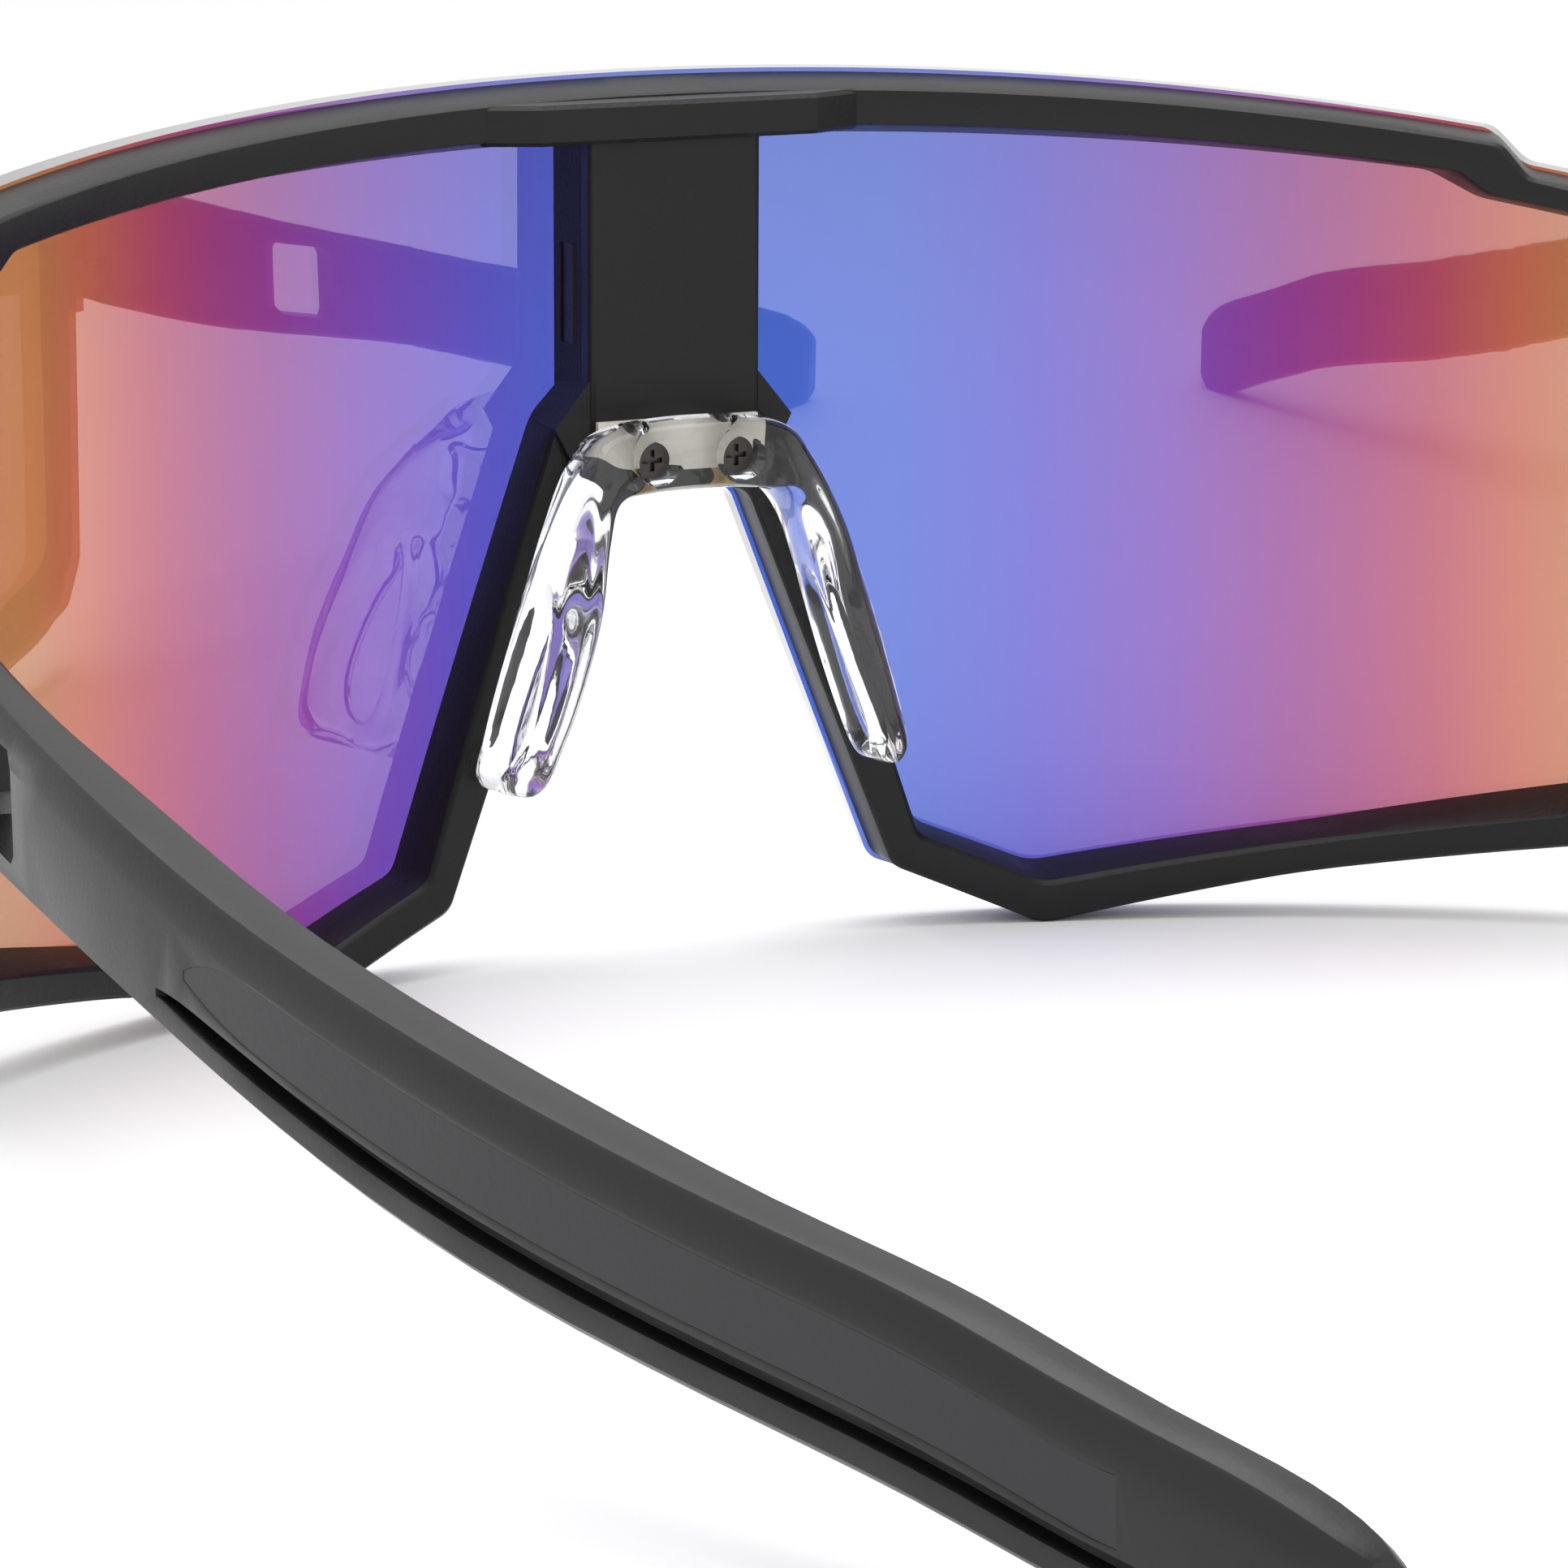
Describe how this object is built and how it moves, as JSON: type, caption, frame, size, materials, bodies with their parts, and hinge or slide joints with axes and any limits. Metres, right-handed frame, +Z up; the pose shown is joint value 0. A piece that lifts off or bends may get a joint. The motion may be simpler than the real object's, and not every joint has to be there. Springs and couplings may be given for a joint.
{
  "type": "wraparound sport sunglasses",
  "caption": "Wraparound sport sunglasses with a mirrored one-piece shield lens, a black full rim, a clear screwed-on nose pad and folding temples.",
  "frame": {"origin": "middle of the footprint, on the surface the open glasses stand on", "axes": "+Z up, -Y the way the lens looks, +Y back along the temples, +X to the wearer's left"},
  "size_m": [0.139, 0.1707, 0.0622],
  "materials": {
    "frame_black": "satin black nylon with a fine grain",
    "temple_black": "satin black nylon",
    "mirror_lens": "smoke polycarbonate with a mirror coating that runs from blue over violet to red",
    "clear_pad": "clear soft silicone",
    "pad_carrier": "cream rigid nylon",
    "grip_rubber": "matte dark grey rubber",
    "steel": "blackened steel",
    "brass": "turned brass"
  },
  "bodies": {
    "front": {"frame_front": "frame_black", "shield_lens": "mirror_lens", "nose_pad": "clear_pad", "nose_pad_carrier": "pad_carrier", "nose_pad_screw_left": "steel", "nose_pad_screw_right": "steel", "nose_pad_insert_left": "brass", "nose_pad_insert_right": "brass", "lens_tab_left": "frame_black", "lens_tab_right": "frame_black", "hinge_frame_leaf_left": "steel", "hinge_frame_leaf_right": "steel", "hinge_screw_left": "steel", "hinge_screw_right": "steel"},
    "temple_l": {"temple_left": "temple_black", "temple_inlay_left": "grip_rubber", "hinge_temple_leaf_left": "steel"},
    "temple_r": {"temple_right": "temple_black", "temple_inlay_right": "grip_rubber", "hinge_temple_leaf_right": "steel"}
  },
  "joints": [
    {"name": "left_hinge", "type": "hinge", "parent": "front", "child": "temple_l", "pos_m": [0.0654, -0.0467, 0.0362], "axis": [0, 0, 1], "range_deg": [0, 75]},
    {"name": "right_hinge", "type": "hinge", "parent": "front", "child": "temple_r", "pos_m": [-0.0654, -0.0467, 0.0362], "axis": [0, 0, -1], "range_deg": [0, 62]}
  ]
}
